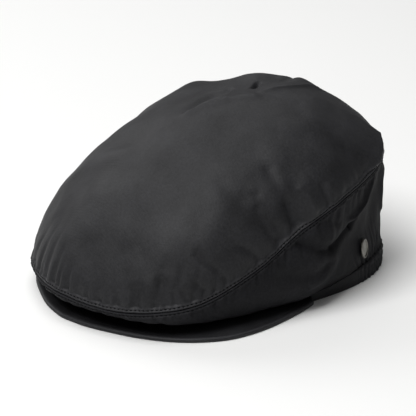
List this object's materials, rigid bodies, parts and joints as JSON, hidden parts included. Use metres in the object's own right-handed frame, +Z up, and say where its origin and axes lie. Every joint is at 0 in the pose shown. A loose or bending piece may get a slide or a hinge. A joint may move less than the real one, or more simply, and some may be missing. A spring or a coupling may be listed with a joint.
{
  "type": "flat cap",
  "caption": "Waxed cotton flat cap: domed top panel, gathered side panels, covered peak and an elasticated back band, with an oval metal badge.",
  "frame": {"origin": "on the floor, at the middle of the cap's footprint box", "axes": "+Z up, -Y towards the peak, +X towards the wearer's left, where the badge is"},
  "size_m": [0.1988, 0.2549, 0.1282],
  "materials": {
    "top_panel": "waxed satin",
    "side_panel_left": "waxed satin",
    "side_panel_right": "waxed satin",
    "gathered_band": "matt",
    "peak": "waxed satin",
    "badge": "pewter satin"
  },
  "bodies": {
    "root": {"top_panel": "top_panel", "side_panel_left": "side_panel_left", "side_panel_right": "side_panel_right", "gathered_band": "gathered_band", "peak": "peak", "badge": "badge"}
  },
  "joints": []
}
